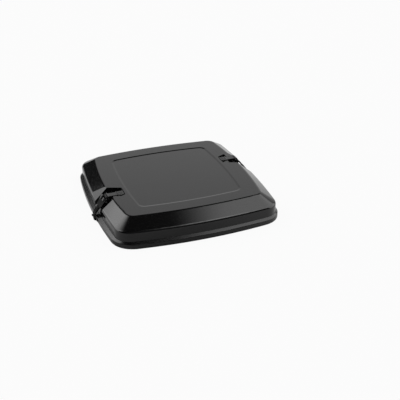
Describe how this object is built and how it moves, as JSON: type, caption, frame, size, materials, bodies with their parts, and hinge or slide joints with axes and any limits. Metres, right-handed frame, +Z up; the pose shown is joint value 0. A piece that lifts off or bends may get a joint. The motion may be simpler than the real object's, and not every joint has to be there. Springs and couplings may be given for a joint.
{
  "type": "battery box",
  "caption": "Low black box with a shallow tray, a bevelled lift-off lid set in the tray's rim, and an over-centre lever latch with a rubber strap on either side.",
  "frame": {"origin": "centre of the underside of the tray, on the surface the box stands on", "axes": "+Z up; +Y towards the rear wall with the two cable entries; +X to the right seen from the front"},
  "size_m": [0.5768, 0.5936, 0.0796],
  "materials": {
    "tray": "moulded black polymer, semi-gloss",
    "lid": "moulded black polymer, satin top and glossy sides",
    "seal_rubber": "matt black foam rubber",
    "pad_rubber": "grooved black rubber",
    "bar_paint": "black powder coat",
    "zinc_steel": "bright zinc plate",
    "nylon": "black nylon",
    "grommet_rubber": "smooth black rubber",
    "vent_plastic": "fine-grained black nylon",
    "latch_plastic": "glossy black glass-filled nylon",
    "pin_steel": "ground steel",
    "strap_rubber": "ribbed black rubber",
    "black_screw": "black oxide"
  },
  "bodies": {
    "tray": {"base_tray": "tray", "rim_gasket": "seal_rubber", "battery_pads": "pad_rubber", "hold_down_bar_front": "bar_paint", "hold_down_bar_rear": "bar_paint", "hold_down_studs": "zinc_steel", "spacer_tubes": "nylon", "flange_nuts": "zinc_steel", "mounting_sleeves": "zinc_steel", "cable_grommet_left": "grommet_rubber", "cable_grommet_right": "grommet_rubber", "latch_keeper_left": "latch_plastic", "latch_keeper_right": "latch_plastic", "latch_keeper_screws": "black_screw"},
    "lid": {"lid": "lid", "vent_plug": "vent_plastic", "latch_base_left": "latch_plastic", "latch_base_right": "latch_plastic", "latch_pivot_pin_left": "pin_steel", "latch_pivot_pin_right": "pin_steel", "latch_base_screws": "black_screw"},
    "lever_left": {"latch_lever_left": "latch_plastic", "latch_strap_pin_left": "pin_steel"},
    "lever_right": {"latch_lever_right": "latch_plastic", "latch_strap_pin_right": "pin_steel"},
    "strap_left": {"latch_strap_left": "strap_rubber"},
    "strap_right": {"latch_strap_right": "strap_rubber"}
  },
  "joints": [
    {"name": "lid_lift", "type": "slide", "parent": "tray", "child": "lid", "axis": [0, 0, 1], "range_m": [0, 0.12]},
    {"name": "lever_left_hinge", "type": "hinge", "parent": "lid", "child": "lever_left", "pos_m": [-0.238, -0.063, 0.0735], "axis": [0, -1, 0], "range_deg": [0, 135]},
    {"name": "lever_right_hinge", "type": "hinge", "parent": "lid", "child": "lever_right", "pos_m": [0.238, 0.063, 0.0735], "axis": [0, 1, 0], "range_deg": [0, 135]},
    {"name": "strap_left_swing", "type": "hinge", "parent": "lever_left", "child": "strap_left", "pos_m": [-0.226, -0.063, 0.07], "axis": [0, -1, 0], "range_deg": [-140, 0], "deforming": ["latch_strap_left"]},
    {"name": "strap_right_swing", "type": "hinge", "parent": "lever_right", "child": "strap_right", "pos_m": [0.226, 0.063, 0.07], "axis": [0, 1, 0], "range_deg": [-140, 0], "deforming": ["latch_strap_right"]}
  ],
  "couplings": [
    {"joint": "strap_left_swing", "follows": "lever_left_hinge", "ratio": -1.037},
    {"joint": "strap_right_swing", "follows": "lever_right_hinge", "ratio": -1.037}
  ]
}
